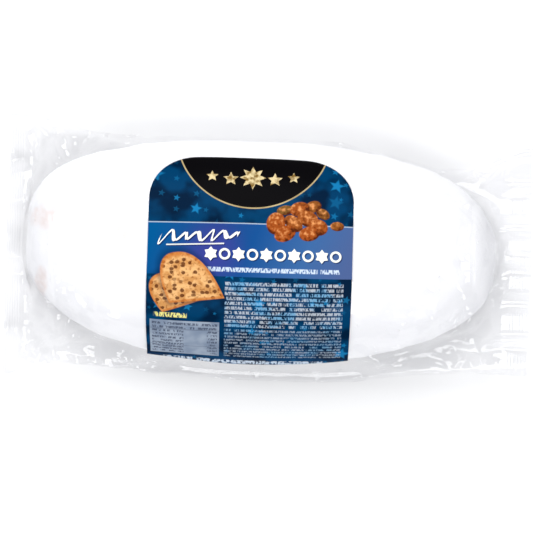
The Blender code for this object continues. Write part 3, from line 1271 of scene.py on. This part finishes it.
def with_table(colour, across, down):
    shade = mixed(TABLE, ink(120, 134, 154), soft(drifting(across, down, 0.1), 0.35, 0.65))
    colour = mixed(colour, shade, box(across, down, -46.0, -13.3, 82.5, 106))
    words = small_print(across + 9, down - 83.2, 2.2, 1.35, 0.4)
    column = between(across, -45.0, -30).maths("MAXIMUM", between(across, -19, -14.2))
    wide = soft(down, 87.8, 87.4) * between(across, -45.0, -14.2)
    colour = mixed(colour, TABLE_INK, words * column.maths("MAXIMUM", wide) * between(down, 83, 105.2) * 0.9)
    rule = between(down, 87.4, 87.75).maths("MAXIMUM", between(down, 98.4, 98.7))
    colour = mixed(colour, TABLE_INK, rule * between(across, -46, -13.3) * 0.6)
    edge = small_print(across * 0.45 + 70, (down - 108.2) * 0.6, 3.2, 2.1, 0.5)
    return mixed(colour, PALE, edge * box(across, down, -40, 36, 108.2, 113.4) * 0.9)


# %% [markdown]
# The artwork is put together from the back forward, and printed on paper with only a faint
# gloss. The paper is very slightly wavy from the wet glue and the loaf below.

# %% The label's finish
PAPER_WAVES = 55


def print_finish():
    material, start, shader = new_material("printed_label")
    place = start.node("ShaderNodeUVMap", {"uv_map": "print"})
    axes = place.node("ShaderNodeSeparateXYZ", None, {0: place})
    across, down = axes * 100, axes.also("Y") * -100
    colour = night_sky(across, down)
    colour = with_badge(colour, across, down)
    colour = with_band(colour, across, down)
    colour = with_fruit(colour, across, down)
    colour = with_slices(colour, across, down)
    colour = with_small_print(colour, across, down)
    colour = with_table(colour, across, down)
    waves = bumped(drifting(across, down, 1 / PAPER_WAVES, 2), 1.5 * MM, 0.5)
    feed(shader, Base_Color=colour, Roughness=0.3, Specular_IOR_Level=0.012, Normal=waves)
    return material


label.data.materials.append(print_finish())

# %% [markdown]
# ## Stage, light and camera
# The pack lies on a plain pale floor. A large soft light stands behind it and above, so the
# near side of the loaf falls into gentle shade, and an even sky fills the rest. The camera
# looks almost straight down through a long lens, turned a little so that the pack lies a
# couple of degrees off level.

# %% Floor
FLOOR_SIZE = 3.0


def make_floor():
    bm = bmesh.new()
    bmesh.ops.create_grid(bm, x_segments=2, y_segments=2, size=FLOOR_SIZE / 2)
    floor = object_from("floor", bm)
    material, start, shader = new_material("pale_floor")
    place = start.node("ShaderNodeTexCoord", output="Object")
    shade = soft(cloudy(place, 3, 2), 0.2, 0.8)
    feed(shader, Base_Color=mixed(ink(228, 228, 229), ink(231, 231, 231), shade), Roughness=0.9)
    floor.data.materials.append(material)
    return floor


make_floor()

# %% Lights
SKY_COLOUR = (0.93, 0.95, 1.0, 1)
SKY_LOW, SKY_ABOVE = 0.5, 0.28  # brightness near the horizon and overhead
SOFT_BOXES = {  # place, size in metres, and power
    "key": ((-0.3, 0.98, 1.2), (1.5, 1.1), 25.0),
    "fill": ((0.15, -0.9, 1.2), (1.2, 0.9), 15.5),
}


def soft_box(name, place, size, power):
    lamp = bpy.data.lights.new(name, "AREA")
    lamp.shape = "RECTANGLE"
    lamp.size, lamp.size_y = size
    lamp.energy = power
    holder = bpy.data.objects.new(name, lamp)
    bpy.context.scene.collection.objects.link(holder)
    holder.location = place
    holder.rotation_euler = Vector(place).to_track_quat("Z", "Y").to_euler()


def soft_sky():
    world = bpy.data.worlds.new("sky")
    bpy.context.scene.world = world
    world.use_nodes = True
    start = Value(world.node_tree)
    direction = start.node("ShaderNodeTexCoord")
    height = direction.node("ShaderNodeSeparateXYZ", None, {0: direction}, "Z")
    strength = soft(height, 0.3, 0.95) * (SKY_ABOVE - SKY_LOW) + SKY_LOW
    background = world.node_tree.nodes["Background"]
    feed(background, Color=SKY_COLOUR, Strength=strength)


for name, (place, size, power) in SOFT_BOXES.items():
    soft_box(name, place, size, power)
soft_sky()

# %% Camera
CAMERA_ELEVATION = math.radians(89)
CAMERA_ROLL = math.radians(2)
CAMERA_DISTANCE = 2.0
VIEW_WIDTH = 251.5 * MM  # across the frame, at the pack
SENSOR = 36.0

camera_data = bpy.data.cameras.new("camera")
camera_data.sensor_width = SENSOR
camera_data.lens = SENSOR * CAMERA_DISTANCE / VIEW_WIDTH
camera = bpy.data.objects.new("camera", camera_data)
bpy.context.scene.collection.objects.link(camera)
aim = Vector((-0.5 * MM, -7.2 * MM, 20 * MM))
back = Vector((0, -math.cos(CAMERA_ELEVATION), math.sin(CAMERA_ELEVATION)))
camera.location = aim + back * CAMERA_DISTANCE
turned = back.to_track_quat("Z", "Y").to_matrix() @ Matrix.Rotation(CAMERA_ROLL, 3, "Z")
camera.rotation_euler = turned.to_euler()
bpy.context.scene.camera = camera
bpy.context.scene.view_settings.view_transform = "Standard"

# %% [markdown]
# ## Hand over
# Each piece rides on the pack's only body. The film and the loaf inside it stand for the
# solid pack, and the printed label for the plain one.

# %% Hand over the pieces
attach(film, "root")
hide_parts("film_pack")
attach(loaf, "root")
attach(sugar_crumbs, "root")
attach(label, "root")
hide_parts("label")
